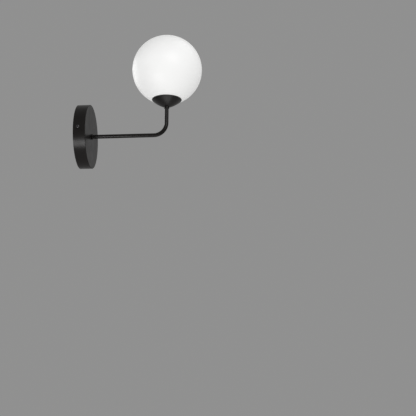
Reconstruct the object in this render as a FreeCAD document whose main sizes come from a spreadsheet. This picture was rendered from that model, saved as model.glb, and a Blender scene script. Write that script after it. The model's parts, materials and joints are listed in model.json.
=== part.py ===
"""Globe wall sconce: a bent arm on a round wall plate carries a cup and an opal glass globe.

Millimetres. The origin is the centre of the wall plate's back, on the wall. +Z is up, the lamp
stands out from the wall towards -Y, and +X is to the right of someone who faces the wall.
"""
import FreeCAD, Part
import math
import os
import re
import Sketcher

SIZES = {
    # wall plate
    "canopy_diameter": 127,
    "canopy_depth": 24,
    "canopy_wall": 1.2,
    "canopy_edge_round": 0.8,
    # strap on the wall
    "strap_width": 25,
    "strap_thickness": 1.5,
    "tab_width": 14,
    "tab_height": 15,
    "tab_gap": 0.3,
    "tongue_width": 24,
    "slot_spacing": 70,
    "slot_length": 16,
    "slot_width": 5,
    # screws through the plate's rim
    "rim_screw_height": 9.6,
    "rim_screw_diameter": 4,
    "rim_screw_length": 6,
    "rim_head_diameter": 6.8,
    "rim_head_height": 2.2,
    "rim_head_round": 1.2,
    "rim_hole_gap": 0.3,
    "drive_slot_width": 0.9,
    "drive_slot_depth": 1.0,
    "drive_cross_length": 3.6,
    # clearances
    "thread_gap": 0.05,
    "slip_gap": 0.1,
    "seat_gap": 0.3,
    "screw_tip_gap": 0.3,
    # arm
    "tube_diameter": 8,
    "tube_bore": 6,
    "bend_radius": 25,
    "arm_reach": 150,
    "tube_past_nut": 1,
    # collars outside the plate and under the cup
    "collar_diameter": 10.6,
    "collar_height": 3.5,
    "collar_round": 0.7,
    # nuts and toothed washers
    "washer_diameter": 11,
    "washer_thickness": 0.8,
    "washer_notch": 1.2,
    "nut_flats": 10.5,
    "nut_thickness": 3.5,
    "bracket_nut_thickness": 3,
    # bushes in the tube's mouths
    "bush_bore": 4.6,
    "bush_flange_diameter": 8.4,
    "bush_flange": 1,
    "bush_spigot": 6,
    # cup
    "cup_rise": 58.7,
    "cup_rim_diameter": 59.6,
    "cup_depth": 15.1,
    "cup_flat_diameter": 12,
    "cup_sag": 1.3,
    "cup_wall": 1.2,
    "cup_foot_round": 8,
    "cup_lip_edge": 0.3,
    # globe
    "globe_diameter": 140,
    "globe_wall": 3,
    "globe_hole_diameter": 42,
    # spring that holds the globe
    "spring_thickness": 0.6,
    "spring_hub_diameter": 18,
    "spring_leg_width": 6,
    "spring_bend_radius": 12,
    "spring_grip_gap": 0.15,
    "spring_tip_rise": 3.5,
    "spring_tip_inset": 1.6,
    # bracket of the lampholder
    "holder_bracket_thickness": 1.2,
    "holder_bracket_width": 10,
    "holder_ear_above_screw": 4,
    # lampholder
    "holder_width": 20,
    "holder_depth": 15,
    "holder_height": 22,
    "holder_corner": 3,
    "holder_rise": 8,
    "holder_screw_rise": 4.5,
    "holder_screw_diameter": 3,
    "holder_screw_length": 7,
    "holder_head_diameter": 5.4,
    "holder_head_height": 1.8,
    "socket_width": 15.4,
    "socket_depth": 7,
    "socket_sink": 8,
    "pocket_width": 3.4,
    "pocket_depth": 3.2,
    "pocket_sink": 10.5,
    "lead_hole_diameter": 2.2,
    # contacts
    "contact_width": 2.4,
    "contact_leaf": 0.4,
    "contact_height": 9,
    # bulb
    "pin_spacing": 9,
    "pin_width": 2.6,
    "pin_thickness": 0.8,
    "pin_length": 6.5,
    "pin_gap": 0.1,
    "plug_gap": 0.4,
    "bulb_diameter": 16,
    "bulb_collar_height": 8,
    "bulb_cap_height": 24,
    "bulb_cap_wall": 1,
    "board_width": 9,
    "board_thickness": 1,
    "board_height": 22,
    # terminal block on the strap's tongue
    "pole_spacing": 8,
    "block_width": 25,
    "block_height": 17,
    "block_thickness": 12,
    "block_drop": 6.5,
    "block_screw_diameter": 2.5,
    "block_head_diameter": 4.4,
    "block_head_height": 1.5,
    "insert_diameter": 4.5,
    "insert_bore": 3,
    "insert_length": 15,
    "clamp_screw_diameter": 2.5,
    "clamp_head_diameter": 3.8,
    "clamp_head_height": 1.6,
    "clamp_screw_spread": 9,
    "clamp_head_sink": 1,
    # earth screw and tag on the strap
    "earth_offset": 22,
    "earth_screw_diameter": 4,
    "earth_head_diameter": 7,
    "earth_head_height": 2.4,
    "tag_diameter": 7.6,
    "tag_thickness": 0.8,
    "tag_neck_width": 3,
    "tag_barrel_diameter": 3,
    "tag_barrel_length": 5,
    "tag_barrel_offset": 4.5,
    # wires
    "wire_diameter": 1.8,
    "wire_offset": 1.1,
    "wire_lead": 1,
    "wire_root_turn": 2,
    "wire_wide_turn": 4.5,
    "wire_drop": 3,
}

POLE_COUNT = 3
WASHER_NOTCHES = 8
SPRING_LEGS = 3

# An edge's place is known to this many millimetres when it is looked up by its place.
PLACE_TOLERANCE = 0.01

# A sketch's own axes and origin point, and the points of one of its lines or arcs.
H_AXIS, V_AXIS = range(-1, -3, -1)
ORIGIN_POINT = H_AXIS
START, END, CENTRE = range(1, 4)

UP = FreeCAD.Rotation()
OUT = FreeCAD.Rotation(FreeCAD.Vector(1, 0, 0), 90)
IN = FreeCAD.Rotation(FreeCAD.Vector(1, 0, 0), -90)
RIGHT = FreeCAD.Rotation(FreeCAD.Vector(0, 1, 0), 90)
LEFT = FreeCAD.Rotation(FreeCAD.Vector(0, 1, 0), -90)

# Heights and distances that several pieces share, as formulas of the sheet's cells.
# "out" is a distance from the wall, and "high" a height above the arm's axis.
TUBE_RADIUS = "tube_diameter / 2"
BORE_RADIUS = "tube_bore / 2"
NUT_BORE = "tube_diameter / 2 + thread_gap"
SLIP_BORE = "tube_diameter / 2 + slip_gap"
STEM_OUT = "canopy_depth + arm_reach"
PLATE_INNER_OUT = "canopy_depth - canopy_wall"
ROOT_NUT_OUT = f"{PLATE_INNER_OUT} - washer_thickness"
ROOT_TUBE_OUT = f"{ROOT_NUT_OUT} - nut_thickness - tube_past_nut"
CUP_INNER_HIGH = "cup_rise + cup_wall"
CUP_NUT_HIGH = f"{CUP_INNER_HIGH} + washer_thickness"
SPRING_HIGH = f"{CUP_NUT_HIGH} + nut_thickness"
BRACKET_HIGH = f"{SPRING_HIGH} + spring_thickness"
BRACKET_NUT_HIGH = f"{BRACKET_HIGH} + holder_bracket_thickness"
TUBE_TOP_HIGH = f"{BRACKET_NUT_HIGH} + bracket_nut_thickness + tube_past_nut"
HOLDER_HIGH = f"{TUBE_TOP_HIGH} + bush_flange + holder_rise"
HOLDER_TOP_HIGH = f"{HOLDER_HIGH} + holder_height"
HOLDER_SCREW_HIGH = f"{HOLDER_HIGH} + holder_screw_rise"
EAR_OUT = "holder_depth / 2 + seat_gap"
SOCKET_FLOOR_HIGH = f"{HOLDER_TOP_HIGH} - socket_sink"
POCKET_FLOOR_HIGH = f"{SOCKET_FLOOR_HIGH} - pocket_sink"
PLUG_HIGH = f"{SOCKET_FLOOR_HIGH} + seat_gap"
BULB_COLLAR_HIGH = f"{HOLDER_TOP_HIGH} + seat_gap"
BULB_CAP_HIGH = f"{BULB_COLLAR_HIGH} + bulb_collar_height"
SEAT_RADIUS = "(cup_rim_diameter / 2 - cup_lip_edge)"
GLOBE_CLEAR_RADIUS = "(globe_diameter / 2 + seat_gap)"
GLOBE_HIGH = f"cup_rise + cup_depth + sqrt({GLOBE_CLEAR_RADIUS}^2 - {SEAT_RADIUS}^2)"
HOLE_RADIUS = "(globe_hole_diameter / 2)"
GLASS_LOW_HIGH = f"{GLOBE_HIGH} - sqrt((globe_diameter / 2)^2 - {HOLE_RADIUS}^2)"
GLASS_TOP_HIGH = f"{GLOBE_HIGH} - sqrt((globe_diameter / 2 - globe_wall)^2 - {HOLE_RADIUS}^2)"
PLATE_INNER_RADIUS = "(canopy_diameter / 2 - canopy_wall)"
TAB_FACE = f"(sqrt({PLATE_INNER_RADIUS}^2 - (tab_width / 2)^2) - tab_gap)"
BLOCK_TOP_DROP = "strap_width / 2 + block_drop"
BLOCK_MIDDLE_DROP = f"{BLOCK_TOP_DROP} + block_height / 2"
BLOCK_FRONT_OUT = "strap_thickness + block_thickness"
POLE_OUT = "strap_thickness + block_thickness / 2"
TAG_OUT = "strap_thickness"
BARREL_OUT = "strap_thickness + tag_barrel_diameter / 2 + slip_gap"

doc = FreeCAD.newDocument("GlobeWallSconce")
sheet = doc.addObject("Spreadsheet::Sheet", "Sizes")
WORD = re.compile(r"[a-z_]+")


def fill_sheet():
    """One row for each driving dimension, its name beside it."""
    for row, (name, size) in enumerate(SIZES.items(), start=1):
        sheet.set(f"A{row}", name)
        sheet.set(f"B{row}", str(size))
        sheet.setAlias(f"B{row}", name)
    doc.recompute()


def bound(formula):
    """The formula with each size's name written as a cell of the sheet."""

    def cell(word):
        name = word.group()
        return f"Sizes.{name}" if name in SIZES else name

    return WORD.sub(cell, formula)


def place(item, x="0", y="0", z="0", turn=UP):
    """Turns the item, then ties its place to the sheet."""
    item.Placement = FreeCAD.Placement(FreeCAD.Vector(), turn)
    for axis, formula in (("x", x), ("y", y), ("z", z)):
        item.setExpression(f"Placement.Base.{axis}", bound(formula))


# ---- sketches and features -------------------------------------------------------------------


def new_body(name, x="0", y="0", z="0", turn=UP):
    body = doc.addObject("PartDesign::Body", name)
    body.Label = name
    place(body, x, y, z, turn)
    return body


def new_sketch(body, name, role, offset="0"):
    """An empty sketch on one of the body's own origin planes, or parallel to it."""
    sketch = body.newObject("Sketcher::SketchObject", name)
    plane = next(item for item in body.Origin.OriginFeatures if item.Role == role)
    sketch.AttachmentSupport = [(plane, "")]
    sketch.MapMode = "FlatFace"
    sketch.setExpression("AttachmentOffset.Base.z", bound(offset))
    return sketch


def tie(sketch, kind, formula, *targets):
    """A dimension of the sketch that follows the sheet."""
    index = sketch.addConstraint(Sketcher.Constraint(kind, *targets, number(formula)))
    sketch.setExpression(f"Constraints[{index}]", bound(formula))


def fix_point(sketch, geometry, point, x, y):
    """Fixes a point of the sketch at (x, y)."""
    for kind, axis, formula in (("DistanceX", V_AXIS, x), ("DistanceY", H_AXIS, y)):
        if formula == "0":
            sketch.addConstraint(Sketcher.Constraint("PointOnObject", geometry, point, axis))
        else:
            tie(sketch, kind, formula, ORIGIN_POINT, START, geometry, point)


def join(sketch, first, first_point, second, second_point):
    sketch.addConstraint(Sketcher.Constraint("Coincident", first, first_point, second, second_point))


def draw_outline(sketch, corners):
    """A closed outline of straight lines through the corners."""
    count = len(corners)
    turn = 2 * math.pi / count
    rough = [FreeCAD.Vector(math.cos(i * turn), math.sin(i * turn), 0) for i in range(count)]
    first = sketch.GeometryCount
    for i in range(count):
        sketch.addGeometry(Part.LineSegment(rough[i], rough[(i + 1) % count]))
    for i in range(count):
        join(sketch, first + i, END, first + (i + 1) % count, START)
    for i, (x, y) in enumerate(corners):
        fix_point(sketch, first + i, START, x, y)


def draw_box(sketch, low_x, low_y, high_x, high_y):
    draw_outline(sketch, [(low_x, low_y), (high_x, low_y), (high_x, high_y), (low_x, high_y)])


def draw_circle(sketch, x, y, radius):
    circle = sketch.addGeometry(Part.Circle(FreeCAD.Vector(1, 1, 0), FreeCAD.Vector(0, 0, 1), 1))
    fix_point(sketch, circle, CENTRE, x, y)
    tie(sketch, "Radius", radius, circle)


def draw_slot(sketch, x, length, width):
    """A round-ended slot along the sketch's x, centred on (x, 0)."""
    radius = f"({width}) / 2"
    run = f"(({length}) - ({width})) / 2"
    up = FreeCAD.Vector(0, 0, 1)
    quarter = math.pi / 2
    reach = FreeCAD.Vector(number(run), 0, 0)
    right_cap = Part.ArcOfCircle(Part.Circle(reach, up, number(radius)), -quarter, quarter)
    left_cap = Part.ArcOfCircle(Part.Circle(-reach, up, number(radius)), quarter, 3 * quarter)
    top = Part.LineSegment(right_cap.EndPoint, left_cap.StartPoint)
    bottom = Part.LineSegment(left_cap.EndPoint, right_cap.StartPoint)
    sides = sketch.addGeometry([right_cap, top, left_cap, bottom])
    for here, there in zip(sides, (*sides[1:], sides[0])):
        join(sketch, here, END, there, START)
    for cap, sign in ((sides[0], "+"), (sides[2], "-")):
        for point in (START, END):
            sketch.addConstraint(Sketcher.Constraint("Vertical", cap, CENTRE, cap, point))
        fix_point(sketch, cap, CENTRE, f"({x}) {sign} {run}", "0")
        tie(sketch, "Radius", radius, cap)


def pad(body, name, sketch, length, midplane=False):
    feature = body.newObject("PartDesign::Pad", name)
    feature.Profile = sketch
    feature.Midplane = midplane
    feature.setExpression("Length", bound(length))
    return feature


def cut_through(body, name, sketch):
    """A cut right through the body, both ways from the sketch."""
    feature = body.newObject("PartDesign::Pocket", name)
    feature.Profile = sketch
    feature.Type = "ThroughAll"
    feature.Midplane = True
    return feature


def cut_down(body, name, sketch, depth):
    """A cut of the given depth, from the sketch against its normal."""
    feature = body.newObject("PartDesign::Pocket", name)
    feature.Profile = sketch
    feature.setExpression("Length", bound(depth))
    return feature


def revolve(body, name, sketch):
    """A full turn about the body's own Z axis, for a sketch on its XZ plane."""
    feature = body.newObject("PartDesign::Revolution", name)
    feature.Profile = sketch
    feature.ReferenceAxis = (sketch, ["V_Axis"])
    feature.Angle = 360
    return feature


def round_rims(body, name, feature, radius, picks):
    """Rounds the circular edges whose (radius, height) the picks name."""
    doc.recompute()
    wanted = [(number(pick_radius), number(pick_height)) for pick_radius, pick_height in picks]
    names = []
    for i, edge in enumerate(feature.Shape.Edges, start=1):
        if not isinstance(edge.Curve, Part.Circle):
            continue
        centre = edge.Curve.Center
        on_axis = math.hypot(centre.x, centre.y) < PLACE_TOLERANCE
        for pick_radius, pick_height in wanted:
            off = max(abs(edge.Curve.Radius - pick_radius), abs(centre.z - pick_height))
            if on_axis and off < PLACE_TOLERANCE:
                names.append(f"Edge{i}")
    rounded = body.newObject("PartDesign::Fillet", name)
    rounded.Base = (feature, names)
    rounded.setExpression("Radius", bound(radius))
    return rounded


def number(formula):
    """What the formula comes to with the sheet's present sizes."""
    reader = doc.getObject("Reader") or doc.addObject("App::FeaturePython", "Reader")
    if "reading" not in reader.PropertiesList:
        reader.addProperty("App::PropertyFloat", "reading")
    reader.setExpression("reading", bound(formula))
    reader.recompute()
    return reader.reading


def ring(name, inner_radius, outer_radius, height, x="0", y="0", z="0", turn=UP):
    """A turned ring with its foot at the given place."""
    body = new_body(name, x, y, z, turn)
    profile = new_sketch(body, f"{name}_profile", "XZ_Plane")
    draw_box(profile, inner_radius, "0", outer_radius, height)
    return body, revolve(body, f"{name}_turned", profile)


# ---- primitives and their booleans -----------------------------------------------------------


def named(item, name):
    item.Label = name
    return item


def block(name, size, corner, turn=UP):
    item = doc.addObject("Part::Box", name)
    for side, formula in zip(("Length", "Width", "Height"), size):
        item.setExpression(side, bound(formula))
    place(item, *corner, turn)
    return item


def rod(name, radius, length, foot, turn=UP):
    item = doc.addObject("Part::Cylinder", name)
    item.setExpression("Radius", bound(radius))
    item.setExpression("Height", bound(length))
    place(item, *foot, turn)
    return item


def ball(name, radius, centre):
    item = doc.addObject("Part::Sphere", name)
    item.setExpression("Radius", bound(radius))
    place(item, *centre)
    return item


def hexagon(name, flats, height, foot, turn=UP):
    item = doc.addObject("Part::Prism", name)
    item.Polygon = 6
    item.setExpression("Circumradius", bound(f"({flats}) / sqrt(3)"))
    item.setExpression("Height", bound(height))
    place(item, *foot, turn)
    return item


def fuse(name, items):
    item = doc.addObject("Part::MultiFuse", name)
    item.Shapes = items
    return item


def cut(name, base, tool):
    item = doc.addObject("Part::Cut", name)
    item.Base = base
    item.Tool = tool
    return item


def group(name, items):
    """Several separate solids under one name."""
    item = doc.addObject("Part::Compound", name)
    item.Links = items
    return named(item, name)


def slotted_screw(name, radius, length, head_radius, head_height, seat, turn):
    """A screw whose shank runs from its seat along the turned Z axis; its head stands behind."""
    head_end = f"-({head_height})"
    half_slot = f"({head_radius} + drive_slot_width)"
    shank = rod(f"{name}_shank", radius, length, ("0", "0", "0"))
    head = rod(f"{name}_head", head_radius, head_height, ("0", "0", head_end))
    slot_size = ("drive_slot_width", f"2 * {half_slot}", "drive_slot_depth")
    slot = block(f"{name}_slot", slot_size, ("-drive_slot_width / 2", f"-{half_slot}", head_end))
    screw = cut(f"{name}_cut", fuse(f"{name}_whole", [shank, head]), slot)
    place(screw, *seat, turn)
    return screw


# ---- the wall plate and what holds it --------------------------------------------------------


def make_canopy_cover():
    body = new_body("canopy_cover", turn=OUT)
    profile = new_sketch(body, "canopy_profile", "XZ_Plane")
    draw_outline(
        profile,
        [
            (SLIP_BORE, "canopy_depth"),
            ("canopy_diameter / 2", "canopy_depth"),
            ("canopy_diameter / 2", "0"),
            (PLATE_INNER_RADIUS, "0"),
            (PLATE_INNER_RADIUS, PLATE_INNER_OUT),
            (SLIP_BORE, PLATE_INNER_OUT),
        ],
    )
    shell = revolve(body, "canopy_shell", profile)
    edge = [("canopy_diameter / 2", "canopy_depth")]
    round_rims(body, "canopy_edge", shell, "canopy_edge_round", edge)
    holes = new_sketch(body, "canopy_screw_holes_sketch", "YZ_Plane")
    draw_circle(holes, "0", "rim_screw_height", "rim_screw_diameter / 2 + rim_hole_gap")
    cut_through(body, "canopy_screw_holes", holes)
    return body


def make_wall_bracket():
    body = new_body("wall_bracket", turn=OUT)
    outline = new_sketch(body, "strap_outline", "XY_Plane")
    tongue_end = f"-({BLOCK_TOP_DROP}) - block_height - seat_gap"
    corners = [
        (TAB_FACE, "-strap_width / 2"),
        (TAB_FACE, "strap_width / 2"),
        (f"-{TAB_FACE}", "strap_width / 2"),
        (f"-{TAB_FACE}", "-strap_width / 2"),
        ("-tongue_width / 2", "-strap_width / 2"),
        ("-tongue_width / 2", tongue_end),
        ("tongue_width / 2", tongue_end),
        ("tongue_width / 2", "-strap_width / 2"),
    ]
    draw_outline(outline, corners)
    pad(body, "strap", outline, "strap_thickness")
    trims = new_sketch(body, "strap_trims_sketch", "XY_Plane")
    for side in ("", "-"):
        for end in ("", "-"):
            inner = f"{side}({TAB_FACE} - strap_thickness - tab_gap)"
            outer = f"{side}({TAB_FACE} + strap_thickness)"
            past_edge = f"{end}(strap_width / 2 + strap_thickness)"
            draw_box(trims, inner, f"{end}tab_width / 2", outer, past_edge)
    cut_through(body, "strap_trims", trims)
    tabs = new_sketch(body, "tabs_sketch", "XY_Plane")
    for side in ("", "-"):
        inner = f"{side}({TAB_FACE} - strap_thickness)"
        draw_box(tabs, inner, "-tab_width / 2", f"{side}{TAB_FACE}", "tab_width / 2")
    pad(body, "tabs", tabs, "tab_height")
    tapped = new_sketch(body, "tab_holes_sketch", "YZ_Plane")
    draw_circle(tapped, "0", "rim_screw_height", "rim_screw_diameter / 2 + thread_gap")
    cut_through(body, "tab_holes", tapped)
    slots = new_sketch(body, "wall_slots_sketch", "XY_Plane")
    for side in ("", "-"):
        draw_slot(slots, f"{side}slot_spacing / 2", "slot_length", "slot_width")
    cut_through(body, "wall_slots", slots)
    holes = new_sketch(body, "strap_holes_sketch", "XY_Plane")
    draw_circle(holes, "earth_offset", "0", "earth_screw_diameter / 2 + thread_gap")
    block_hole = "block_screw_diameter / 2 + thread_gap"
    draw_circle(holes, "pole_spacing / 2", f"-({BLOCK_MIDDLE_DROP})", block_hole)
    cut_through(body, "strap_holes", holes)
    return body


def make_canopy_screw(name, side, turn):
    """A domed screw through the plate's rim into the strap's tab, turned about its own axis."""
    foot = f"{side}(canopy_diameter / 2 + seat_gap)"
    body = new_body(name, x=foot, y="-rim_screw_height", turn=turn)
    profile = new_sketch(body, f"{name}_profile", "XZ_Plane")
    shank_end = "-(seat_gap + canopy_wall + rim_screw_length)"
    draw_outline(
        profile,
        [
            ("0", shank_end),
            ("rim_screw_diameter / 2", shank_end),
            ("rim_screw_diameter / 2", "0"),
            ("rim_head_diameter / 2", "0"),
            ("rim_head_diameter / 2", "rim_head_height"),
            ("0", "rim_head_height"),
        ],
    )
    turned = revolve(body, f"{name}_turned", profile)
    crown = [("rim_head_diameter / 2", "rim_head_height")]
    round_rims(body, f"{name}_dome", turned, "rim_head_round", crown)
    cross = new_sketch(body, f"{name}_cross_sketch", "XY_Plane", "rim_head_height")
    arm = "drive_cross_length / 2"
    half = "drive_slot_width / 2"
    corners = [
        (arm, half),
        (half, half),
        (half, arm),
        (f"-{half}", arm),
        (f"-{half}", half),
        (f"-{arm}", half),
        (f"-{arm}", f"-{half}"),
        (f"-{half}", f"-{half}"),
        (f"-{half}", f"-{arm}"),
        (half, f"-{arm}"),
        (half, f"-{half}"),
        (arm, f"-{half}"),
    ]
    draw_outline(cross, corners)
    cut_down(body, f"{name}_cross", cross, "drive_slot_depth")
    return body


# ---- the arm and its hardware ----------------------------------------------------------------


def make_arm_tube():
    """A tube along the arm's axis: level out from the plate, a quarter bend, then up."""
    body = new_body("arm_tube", turn=OUT)
    route = new_sketch(body, "arm_route", "YZ_Plane")
    radius = SIZES["bend_radius"]
    rough_out = SIZES["arm_reach"]
    bend_middle = FreeCAD.Vector(radius, rough_out - radius, 0)
    bend_circle = Part.Circle(bend_middle, FreeCAD.Vector(0, 0, 1), radius)
    arc = Part.ArcOfCircle(bend_circle, math.pi / 2, math.pi)
    level = Part.LineSegment(FreeCAD.Vector(0, 1, 0), arc.EndPoint)
    stem = Part.LineSegment(arc.StartPoint, FreeCAD.Vector(3 * radius, rough_out, 0))
    level, arc, stem = route.addGeometry([level, arc, stem])
    fix_point(route, level, START, "0", ROOT_TUBE_OUT)
    join(route, level, END, arc, END)
    join(route, arc, START, stem, START)
    fix_point(route, arc, CENTRE, "bend_radius", f"{STEM_OUT} - bend_radius")
    route.addConstraint(Sketcher.Constraint("PointOnObject", level, END, V_AXIS))
    route.addConstraint(Sketcher.Constraint("Horizontal", arc, CENTRE, level, END))
    route.addConstraint(Sketcher.Constraint("Vertical", arc, CENTRE, stem, START))
    route.addConstraint(Sketcher.Constraint("Horizontal", stem))
    tie(route, "DistanceX", TUBE_TOP_HIGH, ORIGIN_POINT, START, stem, END)
    section = new_sketch(body, "arm_section", "XY_Plane", ROOT_TUBE_OUT)
    draw_circle(section, "0", "0", TUBE_RADIUS)
    draw_circle(section, "0", "0", BORE_RADIUS)
    doc.recompute()
    pipe = body.newObject("PartDesign::AdditivePipe", "arm_pipe")
    pipe.Profile = section
    pipe.Spine = (route, [f"Edge{i}" for i in range(1, len(route.Shape.Edges) + 1)])
    return body


def make_collar(name, **where):
    """A round locking collar on the tube."""
    body, turned = ring(name, NUT_BORE, "collar_diameter / 2", "collar_height", **where)
    rims = [("collar_diameter / 2", "0"), ("collar_diameter / 2", "collar_height")]
    round_rims(body, f"{name}_rounds", turned, "collar_round", rims)
    return body


def make_lock_washer(name, **where):
    """A toothed washer: a flat ring with notches round its rim."""
    body = new_body(name, **where)
    face = new_sketch(body, f"{name}_face", "XY_Plane")
    draw_circle(face, "0", "0", "washer_diameter / 2")
    draw_circle(face, "0", "0", SLIP_BORE)
    pad(body, f"{name}_ring", face, "washer_thickness")
    notch = new_sketch(body, f"{name}_notch_sketch", "XY_Plane")
    notch_root = f"({SLIP_BORE} + washer_diameter / 2) / 2"
    draw_box(notch, notch_root, "-washer_notch / 2", "washer_diameter", "washer_notch / 2")
    notches = cut_through(body, f"{name}_notch", notch)
    pattern = body.newObject("PartDesign::PolarPattern", f"{name}_notches")
    pattern.Originals = [notches]
    pattern.Axis = (notch, ["N_Axis"])
    pattern.Angle = 360
    pattern.Occurrences = WASHER_NOTCHES
    body.Tip = pattern
    return body


def make_nut(name, thickness, foot, turn=UP):
    """A thin hexagon nut; its thread is left as a plain bore."""
    solid = hexagon(f"{name}_hexagon", "nut_flats", thickness, foot, turn)
    bore = rod(f"{name}_bore", NUT_BORE, thickness, foot, turn)
    return named(cut(name, solid, bore), name)


def make_bush(name, **where):
    """A plastic bush: its spigot fills the tube's bore and its flange covers the tube's end."""
    body = new_body(name, **where)
    profile = new_sketch(body, f"{name}_profile", "XZ_Plane")
    draw_outline(
        profile,
        [
            ("bush_bore / 2", "0"),
            (f"{BORE_RADIUS} - thread_gap", "0"),
            (f"{BORE_RADIUS} - thread_gap", "bush_spigot"),
            ("bush_flange_diameter / 2", "bush_spigot"),
            ("bush_flange_diameter / 2", "bush_spigot + bush_flange"),
            ("bush_bore / 2", "bush_spigot + bush_flange"),
        ],
    )
    revolve(body, f"{name}_turned", profile)
    return body


# ---- the cup, the globe and the spring between them ------------------------------------------


def make_glass_cup():
    """A spun cup: a small flat, then one shallow curve up to a lip cut to the globe's surface."""
    stem = {"y": f"-({STEM_OUT})"}
    body = new_body("cup_spinning", z="cup_rise", **stem)
    profile = new_sketch(body, "cup_profile", "XZ_Plane")
    flat = SIZES["cup_flat_diameter"] / 2
    rim = SIZES["cup_rim_diameter"] / 2
    depth = SIZES["cup_depth"]
    wall = SIZES["cup_wall"]
    sag = SIZES["cup_sag"]
    chord = math.hypot(rim - flat, depth)
    radius = chord**2 / (8 * sag) + sag / 2
    along = FreeCAD.Vector(rim - flat, depth, 0) / chord
    inward = FreeCAD.Vector(-along.y, along.x, 0)
    middle = FreeCAD.Vector((flat + rim) / 2, depth / 2, 0) + inward * (radius - sag)

    def on_curve(curve_radius, height):
        """The curve's point at a height, below its middle."""
        drop = middle.y - height
        return FreeCAD.Vector(middle.x + math.sqrt(curve_radius**2 - drop**2), height, 0)

    def curve(curve_radius, low, high):
        circle = Part.Circle(middle, FreeCAD.Vector(0, 0, 1), curve_radius)
        return Part.ArcOfCircle(circle, circle.parameter(low), circle.parameter(high))

    bore = number(SLIP_BORE)
    outer_low = FreeCAD.Vector(flat, 0, 0)
    outer_high = FreeCAD.Vector(rim, depth, 0)
    inner_low = on_curve(radius - wall, wall)
    inner_high = on_curve(radius - wall, depth)
    bore_low = FreeCAD.Vector(bore, 0, 0)
    bore_high = FreeCAD.Vector(bore, wall, 0)
    outer, lip, inner, floor, bore_wall, underside = profile.addGeometry(
        [
            curve(radius, outer_low, outer_high),
            Part.LineSegment(outer_high, inner_high),
            curve(radius - wall, inner_low, inner_high),
            Part.LineSegment(inner_low, bore_high),
            Part.LineSegment(bore_high, bore_low),
            Part.LineSegment(bore_low, outer_low),
        ]
    )
    join(profile, outer, END, lip, START)
    join(profile, lip, END, inner, END)
    join(profile, inner, START, floor, START)
    join(profile, floor, END, bore_wall, START)
    join(profile, bore_wall, END, underside, START)
    join(profile, underside, END, outer, START)
    join(profile, outer, CENTRE, inner, CENTRE)
    fix_point(profile, outer, START, "cup_flat_diameter / 2", "0")
    fix_point(profile, outer, END, "cup_rim_diameter / 2", "cup_depth")
    chord_square = "((cup_rim_diameter / 2 - cup_flat_diameter / 2)^2 + cup_depth^2)"
    curve_radius = f"{chord_square} / (8 * cup_sag) + cup_sag / 2"
    tie(profile, "Radius", curve_radius, outer)
    tie(profile, "Radius", f"{curve_radius} - cup_wall", inner)
    tie(profile, "DistanceY", "cup_depth", ORIGIN_POINT, START, inner, END)
    tie(profile, "DistanceY", "cup_wall", ORIGIN_POINT, START, inner, START)
    fix_point(profile, bore_wall, START, SLIP_BORE, "cup_wall")
    fix_point(profile, bore_wall, END, SLIP_BORE, "0")
    spun = revolve(body, "cup_spun", profile)
    round_rims(body, "cup_foot", spun, "cup_foot_round", [("cup_flat_diameter / 2", "0")])
    globe_space = ball("cup_globe_space", GLOBE_CLEAR_RADIUS, ("0", f"-({STEM_OUT})", GLOBE_HIGH))
    return named(cut("glass_cup", body, globe_space), "glass_cup")


def make_opal_globe():
    centre = ("0", f"-({STEM_OUT})", GLOBE_HIGH)
    outside = ball("globe_outside", "globe_diameter / 2", centre)
    inside = ball("globe_inside", "globe_diameter / 2 - globe_wall", centre)
    low = ("0", f"-({STEM_OUT})", f"{GLOBE_HIGH} - globe_diameter / 2")
    hole = rod("globe_hole", HOLE_RADIUS, "globe_diameter / 2", low)
    return named(cut("opal_globe", outside, fuse("globe_empty", [inside, hole])), "opal_globe")


def make_globe_spring():
    """A hub with three legs that rise to the globe's hole and press outward on its ground edge."""
    body = new_body("globe_spring", y=f"-({STEM_OUT})", z=SPRING_HIGH)
    hub_face = new_sketch(body, "spring_hub_face", "XY_Plane")
    draw_circle(hub_face, "0", "0", "spring_hub_diameter / 2")
    draw_circle(hub_face, "0", "0", SLIP_BORE)
    pad(body, "spring_hub", hub_face, "spring_thickness")
    leg = new_sketch(body, "spring_leg_profile", "XZ_Plane")
    grip = f"sqrt(({HOLE_RADIUS} - spring_grip_gap)^2 - (spring_leg_width / 2)^2)"
    grip_low = f"({GLASS_LOW_HIGH}) - ({SPRING_HIGH}) - spring_thickness"
    grip_high = f"({GLASS_TOP_HIGH}) - ({SPRING_HIGH}) + spring_thickness"
    tip_high = f"{grip_high} + spring_tip_rise"
    root = "spring_hub_diameter / 2 - spring_thickness"
    draw_outline(
        leg,
        [
            (root, "0"),
            ("spring_bend_radius", "0"),
            (grip, grip_low),
            (grip, grip_high),
            (f"{grip} - spring_tip_inset", tip_high),
            (f"{grip} - spring_tip_inset - spring_thickness", tip_high),
            (f"{grip} - spring_thickness", grip_high),
            (f"{grip} - spring_thickness", f"{grip_low} + spring_thickness / 2"),
            ("spring_bend_radius - spring_thickness / 3", "spring_thickness"),
            (root, "spring_thickness"),
        ],
    )
    first_leg = pad(body, "spring_leg", leg, "spring_leg_width", midplane=True)
    pattern = body.newObject("PartDesign::PolarPattern", "spring_legs")
    pattern.Originals = [first_leg]
    pattern.Axis = (hub_face, ["N_Axis"])
    pattern.Angle = 360
    pattern.Occurrences = SPRING_LEGS
    body.Tip = pattern
    return body


# ---- the lampholder and the bulb -------------------------------------------------------------


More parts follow.
